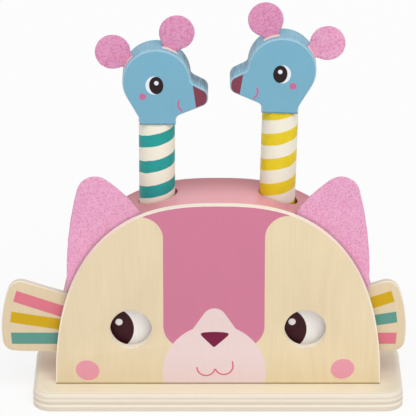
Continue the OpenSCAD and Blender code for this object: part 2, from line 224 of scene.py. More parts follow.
class Value:
    """A node's socket on which Python's arithmetic adds Math nodes."""

    def __init__(self, nodes, socket):
        self.nodes, self.socket = nodes, socket

    def __add__(self, other):
        return self.nodes.math("ADD", self, other)

    def __sub__(self, other):
        return self.nodes.math("SUBTRACT", self, other)

    def __rsub__(self, other):
        return self.nodes.math("SUBTRACT", other, self)

    def __mul__(self, other):
        return self.nodes.math("MULTIPLY", self, other)

    def __truediv__(self, other):
        return self.nodes.math("DIVIDE", self, other)

    def __rtruediv__(self, other):
        return self.nodes.math("DIVIDE", other, self)

    def __pow__(self, other):
        return self.nodes.math("POWER", self, other)

    def __rpow__(self, other):
        return self.nodes.math("POWER", other, self)

    def __abs__(self):
        return self.nodes.math("ABSOLUTE", self)

    def __neg__(self):
        return self.nodes.math("MULTIPLY", self, -1)

    __radd__ = __add__
    __rmul__ = __mul__


class Nodes:
    """The nodes of a material or a world while they are joined."""

    def __init__(self, tree):
        self.tree = tree

    def join(self, value, socket):
        """Links a value to a socket, or sets the socket to a plain number or colour."""
        if isinstance(value, Value):
            self.tree.links.new(value.socket, socket)
        elif socket.type == "RGBA" and len(value) == 3:
            socket.default_value = (*value, 1)
        else:
            socket.default_value = value

    def node(self, kind, settings=None, inputs=None, out=0):
        """Adds a node: its settings come first, then the values or links of its sockets."""
        node = self.tree.nodes.new("ShaderNode" + kind)
        for name, value in (settings or {}).items():
            if name == "stops":
                self.set_stops(node.color_ramp, value)
            else:
                setattr(node, name, value)
        for key, value in (inputs or {}).items():
            self.join(value, node.inputs[key])
        return Value(self, node.outputs[out])

    @staticmethod
    def set_stops(ramp, stops):
        """Each stop is a place on the ramp and its grey."""
        ramp.interpolation = "EASE"
        while len(ramp.elements) < len(stops):
            ramp.elements.new(0.5)
        for element, (where, grey) in zip(ramp.elements, stops):
            element.position = where
            element.color = (grey, grey, grey, 1)

    def math(self, operation, *values):
        return self.node("Math", {"operation": operation}, dict(enumerate(values)))

    def vector(self, operation, *values, out=0):
        return self.node("VectorMath", {"operation": operation}, dict(enumerate(values)), out)

    def least(self, first, *others):
        for other in others:
            first = self.math("MINIMUM", first, other)
        return first

    def most(self, first, *others):
        for other in others:
            first = self.math("MAXIMUM", first, other)
        return first

    def axes(self, vector):
        return [self.node("SeparateXYZ", inputs={0: vector}, out=n) for n in range(3)]

    def mix(self, share_of_second, first, second):
        """Blends two colours."""
        return self.node("Mix", {"data_type": "RGBA"},
                         {0: share_of_second, 6: first, 7: second}, out=2)

    def shade(self, base, amount):
        """A colour made darker or lighter by a value near 1."""
        return self.node("VectorMath", {"operation": "SCALE"}, {0: base, "Scale": amount})

    def noise(self, place, stretch, scale, detail=2.0, out=0):
        """Soft noise from 0 to 1, stretched along the axes; scale is in features a metre."""
        stretched = self.vector("MULTIPLY", place, stretch) if stretch else place
        return self.node("TexNoise", {}, {"Vector": stretched, "Scale": scale, "Detail": detail},
                         out)

    def step(self, value, low, high):
        """Rises smoothly from 0 at low to 1 at high."""
        return self.node("MapRange", {"interpolation_type": "SMOOTHSTEP"},
                         {"Value": value, "From Min": low, "From Max": high})

    def inside(self, distance, softness=0.12):
        """1 where a drawn distance is negative, 0 outside, with an edge as soft as paint."""
        return self.step(distance, softness, -softness)

    def printed(self, ground, *shapes):
        """Prints shapes over the ground in turn; each is a distance, a colour and, where it isn't
        the usual one, the softness of its edge."""
        for distance, ink, *softness in shapes:
            ground = self.mix(self.inside(distance, *softness), ground, ink)
        return ground

    def place(self):
        return self.node("TexCoord", out="Object")

    def seen(self):
        """1 for what the camera sees, also in a mirror or through glass, and 0 for light."""
        rays = ("Is Camera Ray", "Is Glossy Ray", "Is Transmission Ray")
        return self.most(*[self.node("LightPath", out=ray) for ray in rays])


class Finish(Nodes):
    """One material while it is made, with its shader."""

    def __init__(self, name, constants=None):
        self.material = bpy.data.materials.new(name)
        self.material.use_nodes = True
        super().__init__(self.material.node_tree)
        self.shader = self.tree.nodes["Principled BSDF"]
        for socket, value in (constants or {}).items():
            self.shader.inputs[socket].default_value = value

    def finish(self, base, roughness, bump, depth):
        """Joins colour, roughness and relief to the shader; depth is the relief in metres."""
        self.join(base, self.shader.inputs["Base Color"])
        self.join(roughness, self.shader.inputs["Roughness"])
        self.join(self.node("Bump", {}, {"Strength": 1.0, "Distance": depth, "Height": bump}),
                  self.shader.inputs["Normal"])
        return self.material


class Drawing:
    """Flat shapes on a picture plane, in millimetres. Each gives the distance to its outline,
    which is negative inside."""

    def __init__(self, nodes, point):
        self.nodes, self.point = nodes, point

    @classmethod
    def on(cls, nodes, across, up):
        return cls(nodes, nodes.node("CombineXYZ", inputs={0: across / MM, 1: up / MM}))

    def moved(self, centre, degrees=0.0, stretch=1.0):
        """This plane with its origin at centre, turned, and its height measured in stretch."""
        return Drawing(self.nodes, self.nodes.node(
            "Mapping", {"vector_type": "TEXTURE"},
            {"Vector": self.point, "Location": (*centre, 0),
             "Rotation": (0, 0, math.radians(degrees)), "Scale": (1, stretch, 1)}))

    def disc(self, centre, radius):
        return self.nodes.vector("DISTANCE", self.point, (*centre, 0), out="Value") - radius

    def oval(self, centre, half_width, half_height, degrees=0.0):
        turned = self.moved(centre, degrees, half_height / half_width)
        return turned.disc((0, 0), half_width)

    def beyond(self, through, degrees):
        """Distance past the line through a point, towards the direction at that angle."""
        a = math.radians(degrees)
        away = self.nodes.vector("SUBTRACT", self.point, (*through, 0))
        return self.nodes.vector("DOT_PRODUCT", away, (math.cos(a), math.sin(a), 0), out="Value")

    def round_box(self, centre, half_width, half_height, radius=0.0, degrees=0.0):
        f = self.nodes
        size = (half_width - radius, half_height - radius, 0)
        over = f.vector("SUBTRACT", f.vector("ABSOLUTE", self.moved(centre, degrees).point), size)
        out = f.vector("LENGTH", f.vector("MAXIMUM", over, (0, 0, 0)), out="Value")
        x, y, _ = f.axes(over)
        return out + f.least(f.most(x, y), 0) - radius

    def stroke(self, start, end, width):
        """A straight stroke with round ends."""
        middle = [(a + b) / 2 for a, b in zip(start, end)]
        run = Vector(end) - Vector(start)
        return self.round_box(middle, (run.length + width) / 2, width / 2, width / 2,
                              math.degrees(math.atan2(run.y, run.x)))

    def ring(self, centre, radius, width):
        return abs(self.disc(centre, radius)) - width / 2


def layers(f, depth, light, dark, stops):
    """Colour of a plywood edge; each stop is a share of the depth and how dark it is there."""
    return f.mix(f.node("ValToRGB", {"stops": stops}, {0: depth}), light, dark)


# depth of each surface's relief
WOOD_RELIEF, PAINT_RELIEF, BRUSHED_RELIEF = 0.04 * MM, 0.05 * MM, 0.06 * MM
FELT_RELIEF, METAL_RELIEF = 0.5 * MM, 0.01 * MM

# tints that multiply a wood's red, green and blue: warm patches of its own, and painted warm light
# bounced from the base board
WARM_WOOD, BOUNCE_WARMED_WOOD = (0.99, 0.96, 0.89), (1.0, 0.975, 0.90)

# how a wood's figure is stretched, by the axis that the grain follows
ALONG = {"X": (0.04, 1, 1), "Y": (1, 0.04, 1), "Z": (1, 1, 0.04)}
BROAD = {"X": (0.22, 1, 1), "Y": (1, 0.22, 1), "Z": (1, 1, 0.22)}


def mottled(f, base, place, amount, scale):
    """A colour with soft uneven patches."""
    return f.shade(base, (f.noise(place, None, scale, 3) - 0.5) * (2 * amount) + 1)


def grained(f, base, place, along, strength=1.0):
    """A wood colour with flowing figure, streaks and fine fibres, and the height of its relief."""
    drift = f.node("VectorMath", {"operation": "SCALE"},
                   {0: f.noise(place, BROAD[along], 20, 1, out=1), "Scale": 0.006})
    bent = f.vector("ADD", place, drift)
    hills = f.noise(bent, BROAD[along], 17, 0.5)
    figure = f.math("SINE", hills * 95)
    veil = f.noise(place, None, 25, 1)
    streak = f.noise(bent, ALONG[along], 330, 2)
    fine = f.noise(bent, ALONG[along], 1000, 3)
    pores = f.step(f.noise(bent, ALONG[along], 1500, 1), 0.30, 0.22)
    blots = f.noise(bent, BROAD[along], 190, 2)
    tone = (figure * veil * 0.018 + (hills - 0.5) * 0.08 + (streak - 0.5) * 0.02
            + (blots - 0.5) * 0.07 + (fine - 0.5) * 0.045 - pores * 0.02)
    warm = f.mix(f.step(hills + veil * 0.5, 0.6, 1.0) * 0.4, base,
                 f.vector("MULTIPLY", base, WARM_WOOD))
    return f.shade(warm, tone * strength + 1), fine


MUZZLE_X = -2.25     # middle of the muzzle and the nose, in mm


def blaze_shape(f, face):
    """The pink between two bare patches, with a narrower trunk as its lower part."""
    left, right, brow = -33.6, 28.5, 123.0       # inner sides and top of the bare patches
    brow_step, reach = 0.9, 100                  # the right one goes higher; half size of both
    patch_l = face.round_box((left - reach, brow - reach), reach, reach, 14)
    patch_r = face.round_box((right + reach, brow + brow_step - reach), reach, reach, 14.5)
    foot, trunk_half, trunk_end = 36, 60, 80
    trunk = face.round_box(((left + right) / 2, foot + trunk_half), (right - left) / 2,
                           trunk_half, 15)
    return f.most(-patch_l, -patch_r, f.least(trunk, face.beyond((0, trunk_end), 270)))


def muzzle_shape(f, face):
    """A round muzzle and, above it, a bridge that narrows to a round tip."""
    muzzle_z, muzzle_r, tip_z, tip_r = 20.2, 31.7, 55.4, 7.4
    slope_x, slope_z, slope = 7.5, 57.6, 33.6    # a point on a side of the bridge, and its tilt
    bridge_top, bridge_foot = 59.6, 45
    bridge = f.most(face.beyond((MUZZLE_X + slope_x, slope_z), slope),
                    face.beyond((MUZZLE_X - slope_x, slope_z), 180 - slope),
                    face.beyond((MUZZLE_X, bridge_top), 90),
                    face.beyond((MUZZLE_X, bridge_foot), 270))
    return f.least(face.disc((MUZZLE_X, muzzle_z), muzzle_r), bridge,
                   face.disc((MUZZLE_X, tip_z), tip_r))


def nose_shape(f, face):
    """A triangle that points down, with soft corners and a slightly bowed top."""
    left, right, low = -6.9, 2.4, 41.0           # points on its two lower sides
    tip_soft, corner_soft = 2.0, 4.2
    arc_z, arc_r = -13.4, 60.5                   # middle and radius of its bowed top
    soft_corner = {"operation": "SMOOTH_MAX"}
    sides = f.node("Math", soft_corner, {0: face.beyond((left, low), 224),
                                         1: face.beyond((right, low), 312.5), 2: tip_soft})
    return f.node("Math", soft_corner, {0: face.disc((MUZZLE_X, arc_z), arc_r), 1: sides,
                                        2: corner_soft})


def mouth_shape(f, face):
    """Two rounds side by side, open at the top, and the stroke that ends the right one."""
    lip_l, lip_r, radius, width = (-7.4, 23.3), (3.6, 24), 5.6, 0.95
    return f.least(
        f.most(face.ring(lip_l, radius, width), face.beyond((lip_l[0], 22.8), 84)),
        f.most(face.ring(lip_r, radius, width), face.beyond((lip_r[0], 23.3), 100)),
        face.stroke((9.2, lip_r[1]), (8.9, 27), width))


def cheek_shapes(f, face):
    """Two tilted ovals."""
    wide, high, tilt = 7.4, 6.6, 20
    return f.least(face.oval((-80.4, 21.2), wide, high, -tilt),
                   face.oval((76.7, 22.2), wide, high, tilt))


def face_print(f, look, face, ground):
    """The cat's face over the bare wood, and where its paint lies."""
    blaze, muzzle, cheeks = blaze_shape(f, face), muzzle_shape(f, face), cheek_shapes(f, face)
    painted = f.printed(ground, (blaze, look.blaze), (cheeks, look.cheek), (muzzle, look.muzzle),
                        (nose_shape(f, face), look.nose), (mouth_shape(f, face), look.mouth))
    return painted, f.inside(f.least(blaze, muzzle, cheeks))


ARCH_SIDE_POWER, ARCH_TOP_POWER = 2.607, 2.36       # as in the part's source
EYE_ACROSS, EYE_UP, EYE_HOLE_R = 53.5, 48.7, 12.8   # place and radius of the eye holes, in mm


def arch_share(f, x, z):
    """1 on the arch's outline, less inside it."""
    low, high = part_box("front_panel")
    return ((abs(x) / high.x) ** ARCH_SIDE_POWER
            + f.most((z - low.z) / (high.z - low.z), 0) ** ARCH_TOP_POWER)


# plywood edges: share of the thickness from the front or the underside, and how dark it is there
PANEL_LAYERS = ((0.0, 0.0), (0.3, 0.0), (0.38, 0.45), (0.5, 0.4), (0.58, 0.0), (0.8, 0.05),
                (0.88, 0.4), (1.0, 0.2))
FIN_LAYERS = ((0.0, 0.1), (0.22, 0.1), (0.3, 1.0), (0.44, 0.9), (0.52, 0.2), (0.72, 0.2),
              (0.8, 1.0), (1.0, 0.6))
BASE_LAYERS = ((0.0, 0.5), (0.05, 0.7), (0.24, 0.7), (0.275, 0.0), (0.375, 0.0), (0.41, 1.0),
               (0.53, 0.9), (0.575, 0.3), (0.68, 0.3), (0.715, 0.9), (0.755, 0.85), (0.80, 0.45),
               (0.94, 0.3), (0.95, 0.8), (0.96, 0.8), (0.97, 0.2))


def panel_finish(toy):
    """Birch plywood with the printed face; its arched rim and eye holes show the layers."""
    f = Finish("printed_birch", {"Specular IOR Level": 0.25})
    place = f.place()
    x, y, z = f.axes(place)
    low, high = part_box("front_panel")
    wood, fine = grained(f, toy.wood.face, place, "Z")
    # painted light: the face panel turns warmer towards its foot, as in light bounced from the base
    # board
    lower = f.step(z, 60 * MM, 14 * MM)
    wood = f.mix(lower * 0.5, wood, f.vector("MULTIPLY", wood, BOUNCE_WARMED_WOOD))
    face = Drawing.on(f, x, z)
    painted, paint = face_print(f, toy.face, face, wood)
    painted = f.shade(painted, (fine - 0.5) * 0.06 + 1)
    edge = layers(f, (y - low.y) / (high.y - low.y), toy.wood.edge, toy.wood.core, PANEL_LAYERS)
    holes = f.least(face.disc((-EYE_ACROSS, EYE_UP), EYE_HOLE_R),
                    face.disc((EYE_ACROSS, EYE_UP), EYE_HOLE_R))
    rim = f.most(f.step(arch_share(f, x, z), 0.985, 0.99), f.inside(holes - 0.3))
    # painted light: the ply edge is 12% lighter on the arched rim, which faces up to the lamps, and
    # in the eye holes
    wood = f.mix(rim, wood, f.shade(edge, 1.12))
    on_face = f.step(y, low.y + 0.5 * MM, low.y + 0.3 * MM)
    margin = f.step(arch_share(f, x, z), 0.974, 0.99) * f.step(z, 90 * MM, 60 * MM)
    painted = f.mix(margin * 0.8, painted, f.shade(edge, 1.1))
    # painted contact shadow: a dark line along the panel's foot, where it stands on the base board
    contact_shadow = f.step(z, low.z + 1.5 * MM, low.z + 0.3 * MM)
    painted = f.mix(contact_shadow * 0.8, painted, toy.wood.contact_shadow)
    return f.finish(f.mix(on_face, wood, painted), 0.56 - paint * on_face * 0.1, fine, WOOD_RELIEF)


def base_finish(toy):
    """Birch plywood, lying, with its layers all round the edge."""
    f = Finish("base_birch", {"Specular IOR Level": 0.25})
    place = f.place()
    x, _, z = f.axes(place)
    low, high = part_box("base_board")
    wood, fine = grained(f, toy.wood.base, place, "X", 0.7)
    wander = f.noise(place, (1, 1, 0.01), 30, 1) - 0.5
    height = (z - low.z) / (high.z - low.z) + wander * 0.03
    edge = layers(f, height, toy.wood.edge, toy.wood.core, BASE_LAYERS)
    edge = f.shade(edge, (f.noise(place, (1, 1, 8), 300, 2) - 0.5) * 0.09 + 1)
    side = f.step(z, high.z - 0.12 * MM, high.z - 0.5 * MM)
    # painted shade: the board's top darkens towards its right end, under the right fin
    fin_shaded_end = f.step(x, 88 * MM, 112 * MM)
    wood = f.shade(wood, 1 - fin_shaded_end * 0.1)
    return f.finish(f.mix(side, wood, edge), 0.58, fine, WOOD_RELIEF)


PAINT_IN_SHADE = (0.635, 0.385, 0.42)    # what the paint keeps of red, green and blue in its painted shade


def cover_finish(toy):
    """Pink satin paint with painted shade towards the back and down the sides, and bare wood
    inside.
    """
    f = Finish("pink_satin_paint", {"Specular IOR Level": 0.3})
    place = f.place()
    x, y, z = f.axes(place)
    low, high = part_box("arch_cover")
    paint = mottled(f, toy.face.cover, place, 0.02, 25)
    # painted shade: the paint darkens towards the back of the cover and down its sides
    deep = f.vector("MULTIPLY", paint, PAINT_IN_SHADE)
    shaded = f.most(f.step(y, low.y + 6 * MM, high.y), f.step(abs(x), 25 * MM, 52 * MM) * 0.8)
    paint = f.mix(shaded, paint, deep)
    bare, _ = grained(f, toy.wood.beech, place, "Y")
    inner = f.step(arch_share(f, x, z), 0.95, 0.93)
    base = f.mix(inner, paint, bare)
    return f.finish(base, inner * 0.3 + 0.38, f.noise(place, None, 420, 2), PAINT_RELIEF)


def back_finish(toy):
    """Pink satin paint on the outside of the back, and bare wood inside."""
    f = Finish("pink_back", {"Specular IOR Level": 0.3})
    place = f.place()
    _, y, _ = f.axes(place)
    _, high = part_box("rear_panel")
    paint = mottled(f, toy.face.back, place, 0.02, 25)
    bare, fine = grained(f, toy.wood.beech, place, "Z")
    paint = f.shade(paint, (fine - 0.5) * 0.05 + 1)
    inner = f.step(y, high.y - 0.9 * MM, high.y - 1.3 * MM)
    return f.finish(f.mix(inner, paint, bare), inner * 0.2 + 0.44, fine, PAINT_RELIEF)


# middles of the printed white, pupil and light spot of each eye, in mm
EYE_PRINTS = {"left": {"white": (-62, 48.7), "pupil": (-66.3, 45.0), "glint": (-61.0, 49.6)},
              "right": {"white": (45, 48.7), "pupil": (40.1, 44.8), "glint": (45.6, 49.8)}}
FIN_STRIPES = (      # upper and lower outer corner from the slider's middle, and the stripe's tilt
    ((115.1, 70.6), (117.2, 63.3), 19.3), ((118.4, 56.6), (119.2, 49.4), 9.2),
    ((119.0, 42.5), (118.4, 34.9), 0.1))
STRIPE_INNER = 80    # where the stripes end behind the face panel, from the slider's middle


def eye_print(f, look, plane, streaks, ground):
    """Both eyes over the bare wood, and the outline of their whites."""
    half_w, half_h, corner = 25, 16, 15
    prints = EYE_PRINTS.values()
    whites = f.least(*[plane.round_box(at["white"], half_w, half_h, corner) for at in prints])
    pupils = f.least(*[plane.disc(at["pupil"], look.pupil_r / MM) for at in prints])
    glints = f.least(*[plane.disc(at["glint"], look.glint_r / MM) for at in prints])
    white = f.shade(look.white, (streaks - 0.5) * 0.10 + 1)
    painted = f.printed(ground, (whites, white), (pupils, look.pupil), (glints, look.white))
    faint_ring = f.inside(abs(glints + 0.6) - 0.1, 0.25) * 0.25
    return f.mix(faint_ring, painted, look.pupil), whites


def fin_stripes(f, look, plane, middle):
    """The three stripes of each fin, every one with its ink."""
    across, _, _ = f.axes(plane.point)
    inks = {-1: (look.pink, look.ochre, look.teal), 1: (look.ochre, look.teal, look.pink)}
    stripes = []
    for side, three in inks.items():
        for (top, foot, tilt), ink in zip(FIN_STRIPES, three):
            top, foot = [Vector((middle + side * out, height)) for out, height in (top, foot)]
            run = foot - top
            outward = math.degrees(math.atan2(run.x * side, -run.y * side))
            upward = 90 + side * tilt
            stripe = f.most(plane.beyond(top, upward), plane.beyond(foot, upward + 180),
                            plane.beyond(top, outward), side * (middle - across) + STRIPE_INNER)
            stripes.append((stripe, ink))
    return stripes


def slider_finish(toy):
    """Birch plywood with the eyes printed in its middle and three stripes on each fin."""
    f = Finish("printed_slider", {"Specular IOR Level": 0.2})
    place = f.place()
    x, y, z = f.axes(place)
    low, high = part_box("eye_slider")
    wood, fine = grained(f, toy.wood.fin, place, "Z", 0.8)
    plane = Drawing.on(f, x, z)
    painted, whites = eye_print(f, toy.eyes, plane, f.noise(place, ALONG["Z"], 700, 2), wood)
    stripes = fin_stripes(f, toy.eyes, plane, (low.x + high.x) / 2 / MM)
    painted = f.shade(f.printed(painted, *stripes), (fine - 0.5) * 0.08 + 1)
    depth = (y - low.y) / (high.y - low.y)
    edge = layers(f, depth, toy.wood.edge, toy.wood.core, FIN_LAYERS)
    wood = f.mix(f.step(abs(depth - 0.5), 0.47, 0.44), wood, edge)
    on_face = f.step(y, low.y + 0.45 * MM, low.y + 0.2 * MM)
    paint = f.inside(f.least(whites, *[stripe for stripe, _ in stripes]))
    return f.finish(f.mix(on_face, wood, painted), 0.56 - paint * on_face * 0.1, fine, WOOD_RELIEF)


def head_place(f, side):
    """Place on a mouse: x towards its nose, z up its dowel from the neck, y from its middle."""
    neck, axis = head_frame(side)
    facing = 1 if side == "left" else -1
    return f.node("Mapping", {"vector_type": "TEXTURE"},
                  {"Vector": f.place(), "Location": neck,
                   "Rotation": (0, math.atan2(axis.x, axis.z), 0), "Scale": (facing, 1, 1)})


# middle of the pupil, cheek, mouth and the snout's colour edge, in mm, and how strong the painted
# shade on its snout's top is
HEAD_PRINTS = {
    "left": {"eye": (-0.1, 25.3), "cheek": (-8.4, 18.1), "mouth": (18.3, 13.3),
             "snout": (23.0, 17.5), "dark": 0.62},
    "right": {"eye": (1.1, 25.1), "cheek": (-6.8, 17.6), "mouth": (19.6, 13.6),
              "snout": (24.2, 18.5), "dark": 0.3}}
EAR_ANGLES = {"left": (66.6, 148.6), "right": (69.7, 150.9)}     # as in the part's source
HEAD_MIDDLE = 27.2      # above the neck, in mm, as in the part's source
RAW_FROM = 10           # bare strips lie farther than this from the head's middle, in mm


def head_print(f, look, at, profile, ground):
    """What a face of a head shows: eye, cheek, mouth and the dark end of the snout."""
    eye = Vector(at["eye"])
    pupil_w, pupil_h, pupil_tilt = 4.3, 5.6, 4
    white_w, white_h, white_back = 5.1, 5.8, 1.35
    glint_r, cheek_r, lip_r, lip_width, lip_end = 1.36, 2.15, 5.2, 1.2, 2.6
    pupil = profile.oval(eye, pupil_w, pupil_h, pupil_tilt)
    white = f.most(profile.oval(eye - Vector((white_back, 0)), white_w, white_h),
                   profile.beyond(eye, 0))
    glint = profile.disc(eye + Vector((0.1, 1.5)), glint_r)
    mouth = f.most(profile.ring(at["mouth"], lip_r, lip_width),
                   profile.beyond(at["mouth"], 0) + lip_end,
                   profile.beyond((0, at["mouth"][1] + lip_end), 90))
    return f.printed(ground, (profile.disc(at["cheek"], cheek_r), look.blush, 0.5),
                     (mouth, look.blush, 0.2), (profile.beyond(at["snout"], 188), look.nose),
                     (white, look.white), (pupil, look.pupil), (glint, look.white, 0.2))


def bare_strips(f, look, side, profile, depth):
    """Where a head's rim shows bare wood, in front of the slots of its ears."""
    strips = []
    for turn in EAR_ANGLES[side]:
        outwards, across, _ = f.axes(profile.moved((0, HEAD_MIDDLE), turn).point)
        strips.append(f.most(abs(across) - look.raw_length / MM / 2, RAW_FROM - outwards))
    raw_half = look.raw_width / MM / 2
    before_slot = abs(depth / MM + look.slot_half / MM + raw_half) - raw_half
    return f.inside(f.least(*strips)) * f.inside(before_slot, 0.15)


def head_rim(f, look, place, half, fibres, dark, blue):
    """Paint of a head's rim, a little lighter as painted light: the wood's fibres show, the front
    has a painted highlight, and the snout shows end grain and painted shade.
    """
    u, v, _ = f.axes(place)
    snout = f.step(u, 13 * MM, 17 * MM)
    streaks = (fibres - 0.5) * (snout * 1.1 + 0.45)
    # painted shade on the back part of the snout's rim; the streaks are its end grain
    shaded_far_side = f.step(v, -half, half * 0.2)
    # painted highlight: a pale band along the rim's front edge, next to the rounding
    front = f.step(v, 2.6 * MM - half, 1.3 * MM - half)
    rim = f.mix(f.step(f.noise(place, None, 110, 2), 0.42, 0.62) * 0.4, blue, look.lilac)
    # painted light: the rim is 6% lighter than the faces, as a head's lit top; the snout's rim
    # carries painted shade
    rim = f.shade(rim, streaks - snout * shaded_far_side * dark + 1.06)
    return f.mix(front * 0.55, rim, look.pale)


def head_finish(toy, side):
    """Blue satin paint with a print on both faces, and bare wood along the ears' slots."""
    look, at = toy.mice, HEAD_PRINTS[side]
    f = Finish(side + "_head_paint", {"Specular IOR Level": 0.3})
    place = head_place(f, side)
    u, v, w = f.axes(place)
    profile = Drawing.on(f, u, w)
    low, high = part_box(side + "_mouse_head")
    half = (high.y - low.y) / 2
    blue = mottled(f, look.blue, place, 0.035, 60)
    end_grain = f.noise(place, ALONG["Y"], 1100, 2)
    fine = f.noise(place, ALONG["Z"], 1300, 2)
    rim = f.mix(bare_strips(f, look, side, profile, v),
                head_rim(f, look, place, half, end_grain, at["dark"], blue), toy.wood.edge)
    on_face = f.step(abs(v), half - 0.25 * MM, half - 0.05 * MM)
    # painted shadow: the head darkens along its lower edge, where it sits on the dowel
    foot = f.step(w, 1.1 * MM, 0.3 * MM)
    painted = f.mix(on_face, rim, head_print(f, look, at, profile, blue))
    painted = f.shade(painted, (fine - 0.5) * 0.08 - foot * 0.4 + 1)
    return f.finish(painted, 0.42, end_grain, BRUSHED_RELIEF)


STRIPE_START = {"left": 0.836, "right": 0.244}      # share of a turn, read at the dowel's front
TURNS_BELOW = 10     # more turns than a dowel has below its neck, so that the count stays above 0


def dowel_finish(toy, side):
    """Cream paint with a spiral stripe, and a painted shadow right under the head."""
    look = toy.mice
    f = Finish(side + "_striped_paint", {"Specular IOR Level": 0.25})
    place = head_place(f, side)
    u, v, w = f.axes(place)
    facing = 1 if side == "left" else -1
    turn = f.math("ARCTAN2", v, u * facing) / math.tau
    wobble = f.noise(place, (1, 1, 0.4), 150, 3) - 0.5
    pitch = {"left": look.teal_pitch, "right": look.yellow_pitch}[side]
    climb = w / pitch - turn + wobble * 0.07 + (TURNS_BELOW + STRIPE_START[side])
    band = abs(f.math("FRACT", climb) - 0.5) - look.stripe_share / 2
    stripe = f.inside(band * (pitch / MM), 0.2)
    ink = {"left": look.teal, "right": look.yellow}[side]
    brushed = f.noise(place, (1, 1, 4), 260, 3)
    thick = f.noise(place, None, 120, 2)
    inked = f.shade(ink, (brushed - 0.5) * 0.22 + (thick - 0.5) * 0.25 + 1)
    cream = f.shade(look.cream, (brushed - 0.5) * 0.06 + 1)
    # painted shadow of the head on the dowel's top
    head_shadow = f.step(w, -1.2 * MM, -0.4 * MM)
    paint = f.shade(f.mix(stripe, cream, inked), 1 - head_shadow * 0.3)
    return f.finish(paint, 0.45, stripe * 0.6 + brushed * 0.4, BRUSHED_RELIEF)


# tints that multiply the felt's red, green and blue
PLAIN_FELT, DEEP_FELT, LIGHT_FELT = (1, 1, 1), (0.91, 0.78, 0.86), (1.02, 0.98, 0.99)


def felt_finish(toy, name, tint, arch=False):
    """Felt with flecks of darker and paler fibres, and a painted shadow along the arch if it stands
    there.
    """
    look = toy.felt
    f = Finish(name, {"Sheen Weight": 0.25, "Sheen Roughness": 0.7, "Specular IOR Level": 0.1})
    place = f.place()
    flecks = f.noise(place, None, 950, 3)
    fibres = f.noise(place, None, 3000, 3)
    clumps = f.noise(place, None, 480, 2)
    patches = f.noise(place, None, 90, 2)
    dark = f.step(flecks * 0.75 + clumps * 0.25, 0.44, 0.62)
    base = f.mix(dark, look.pink, look.fleck)
    base = f.mix(f.step(clumps * 0.5 + fibres * 0.5, 0.56, 0.70) * 0.6, base, look.pale)
    base = f.shade(f.vector("MULTIPLY", base, tint),
                   (patches - 0.5) * 0.10 + (flecks - 0.5) * 0.25 + (fibres - 0.5) * 0.30 + 1)
    if arch:
        x, _, z = f.axes(place)
        # painted shadow: the felt darkens towards the arch's outline, where the ear meets the face
        # panel's rim
        base = f.shade(base, 1 - f.step(arch_share(f, x, z), 1.06, 1.0) * 0.34)
    return f.finish(base, 0.95, fibres * 0.5 + clumps * 0.5, FELT_RELIEF)


def beech_finish(toy):
    """Plain beech for the pieces inside the body."""
    f = Finish("plain_beech", {"Specular IOR Level": 0.3})
    wood, fine = grained(f, toy.wood.beech, f.place(), "Z", 1.3)
    return f.finish(wood, 0.62, fine, PAINT_RELIEF)


def metal_finish(name, base, roughness):
    """Bright metal with fine marks."""
    f = Finish(name, {"Metallic": 1.0})
    place = f.place()
    marks = f.noise(place, None, 1500, 3)
    return f.finish(mottled(f, base, place, 0.10, 400), (marks - 0.5) * 0.2 + roughness, marks,
                    METAL_RELIEF)


# ---------------------------------------------------------------- modelling

SHARP = math.radians(60)     # edges that turn more than this can be rounded


def select_only(piece):
    bpy.ops.object.select_all(action="DESELECT")
    piece.select_set(True)
    bpy.context.view_layer.objects.active = piece


def copy_of(node, name):
    """A clean copy of a CAD node: its loose triangles are merged and flat areas joined."""
    piece = bpy.data.objects.new(name, frame["nodes"][node].data.copy())
    bpy.context.scene.collection.objects.link(piece)
    piece.data.materials.clear()
    select_only(piece)
    bpy.ops.object.mode_set(mode="EDIT")
    bpy.ops.mesh.select_all(action="SELECT")
    bpy.ops.mesh.remove_doubles(threshold=MERGE)
    bpy.ops.mesh.customdata_custom_splitnormals_clear()
    bpy.ops.mesh.dissolve_limited(angle_limit=math.radians(0.5))
    bpy.ops.object.mode_set(mode="OBJECT")
    return piece


def round_edges(piece, radius, segments=2, wanted=None):
    """Rounds the sharp edges whose middle point passes the wanted test."""
    select_only(piece)
    bpy.ops.object.mode_set(mode="EDIT")
    bpy.ops.mesh.select_mode(type="EDGE")
    bpy.ops.mesh.select_all(action="DESELECT")
    mesh = bmesh.from_edit_mesh(piece.data)
    for edge in mesh.edges:
        if len(edge.link_faces) == 2 and edge.calc_face_angle() > SHARP:
            middle = (edge.verts[0].co + edge.verts[1].co) / 2
            edge.select_set(wanted is None or wanted(middle))
    bmesh.update_edit_mesh(piece.data)
    bpy.ops.mesh.bevel(offset=radius, segments=segments, profile=0.5, affect="EDGES",
                       clamp_overlap=False)
    bpy.ops.object.mode_set(mode="OBJECT")


def refill(piece, level):
    """Fills a flat face at that height anew, with its holes, after a rounding moved its rim."""
    select_only(piece)
    bpy.ops.object.mode_set(mode="EDIT")
    bpy.ops.mesh.select_mode(type="FACE")
    bpy.ops.mesh.select_all(action="DESELECT")
    mesh = bmesh.from_edit_mesh(piece.data)
    for face in mesh.faces:
        face.select_set(all(abs(v.co.z - level) < MERGE for v in face.verts))
    bmesh.update_edit_mesh(piece.data)
    bpy.ops.mesh.delete(type="FACE")
    bpy.ops.mesh.select_mode(type="EDGE")
    bpy.ops.mesh.select_non_manifold()
    bpy.ops.mesh.fill(use_beauty=True)
    bpy.ops.object.mode_set(mode="OBJECT")


def settle(piece, node, body, material, smooth_below=35):
    """Shades a finished piece, gives it its material and body, and hides the CAD node it stands
    for.
    """
    select_only(piece)
    bpy.ops.object.shade_smooth_by_angle(angle=math.radians(smooth_below))
    piece.data.materials.clear()
    piece.data.materials.append(material)
    if body:
        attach(piece, body)
    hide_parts(node)
    return piece


